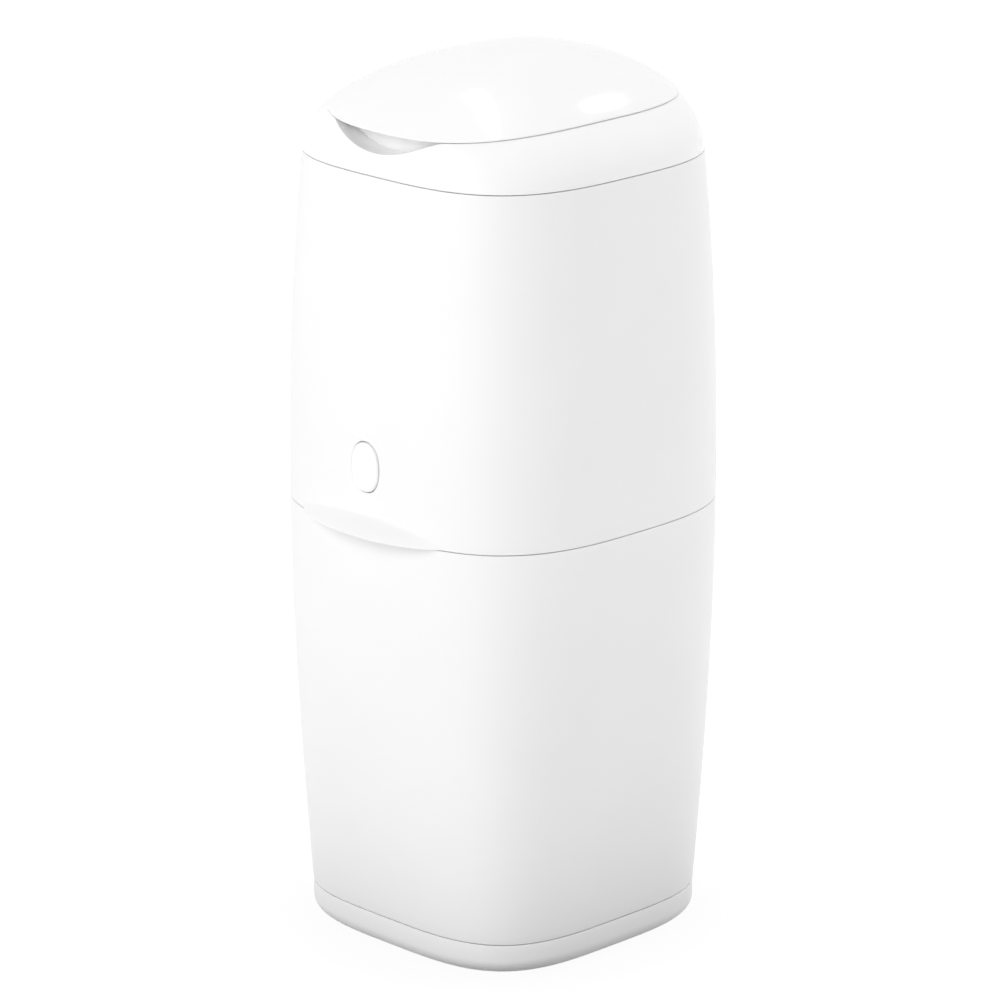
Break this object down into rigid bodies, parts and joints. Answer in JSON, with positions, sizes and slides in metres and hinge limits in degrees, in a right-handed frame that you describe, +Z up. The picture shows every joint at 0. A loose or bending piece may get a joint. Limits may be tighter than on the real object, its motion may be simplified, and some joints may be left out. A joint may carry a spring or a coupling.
{
  "type": "nappy bin",
  "caption": "Upright bin with a softly square body, a bucket below, a hinged upper part with a sprung clamp and film refill, and a domed flip-up lid.",
  "frame": {"origin": "on the floor under the middle of the bin", "axes": "+Z up, -Y towards the front with the button, +X to the right seen from the front turned towards +Y"},
  "size_m": [0.226, 0.2498, 0.5344],
  "materials": {
    "white_plastic": "satin moulded white polypropylene",
    "gloss_white_plastic": "glossy moulded white plastic",
    "inner_plastic": "matt moulded pale grey plastic",
    "jaw_plastic": "matt moulded blue-grey plastic",
    "cutter_plastic": "matt moulded orange plastic",
    "cassette_plastic": "matt moulded pale plastic",
    "cap_plastic": "matt moulded blue plastic",
    "film": "folded polythene film",
    "foot_rubber": "matt soft rubber",
    "seal_rubber": "matt soft rubber",
    "pad_rubber": "matt soft rubber",
    "screw_steel": "zinc plated",
    "pin_steel": "drawn bright steel",
    "sheet_steel": "brushed stainless sheet",
    "spring_steel": "drawn spring wire"
  },
  "bodies": {
    "base": {"foot_ring": "white_plastic", "rubber_feet": "foot_rubber", "foot_screws": "screw_steel", "lower_bucket": "white_plastic", "rim_seal": "seal_rubber", "latch_keeper": "sheet_steel", "keeper_screws": "screw_steel", "main_hinge_pin": "pin_steel"},
    "upper": {"upper_housing": "white_plastic", "collar": "gloss_white_plastic", "cassette_deck": "inner_plastic", "deck_screws": "screw_steel", "clamp_frame": "inner_plastic", "clamp_screws": "screw_steel", "fixed_jaw": "jaw_plastic", "fixed_jaw_pad": "pad_rubber", "guide_rods": "pin_steel", "jaw_springs": "spring_steel", "cutter_body": "cutter_plastic", "cutter_blade": "sheet_steel", "latch_guide": "inner_plastic", "latch_spring": "spring_steel", "lid_hinge_pin": "pin_steel"},
    "lid": {"lid_shell": "gloss_white_plastic", "lid_liner": "inner_plastic", "lid_seal": "seal_rubber", "lid_screws": "screw_steel"},
    "jaw": {"sliding_jaw": "jaw_plastic", "sliding_jaw_pad": "pad_rubber"},
    "button": {"release_button": "gloss_white_plastic", "latch_hook": "jaw_plastic"},
    "cassette": {"cassette_body": "cassette_plastic", "film_pack": "film", "cassette_cap": "cap_plastic"}
  },
  "joints": [
    {"name": "upper_open", "type": "hinge", "parent": "base", "child": "upper", "pos_m": [0, 0.11942, 0.267], "axis": [-1, 0, 0], "range_deg": [0, 80]},
    {"name": "lid_open", "type": "hinge", "parent": "upper", "child": "lid", "pos_m": [0, 0.106, 0.501], "axis": [-1, 0, 0], "range_deg": [0, 95]},
    {"name": "button_press", "type": "slide", "parent": "upper", "child": "button", "axis": [0, 1, 0], "range_m": [0, 0.0045], "stiffness_N_per_m": 600, "springref_m": -0.003, "deforming": ["latch_spring"]},
    {"name": "jaw_slide", "type": "slide", "parent": "upper", "child": "jaw", "axis": [0, 1, 0], "range_m": [0, 0.046], "stiffness_N_per_m": 150, "springref_m": -0.02, "deforming": ["jaw_springs"]},
    {"name": "cassette_lift", "type": "slide", "parent": "upper", "child": "cassette", "axis": [0, 0, 1], "range_m": [0, 0.012]}
  ]
}
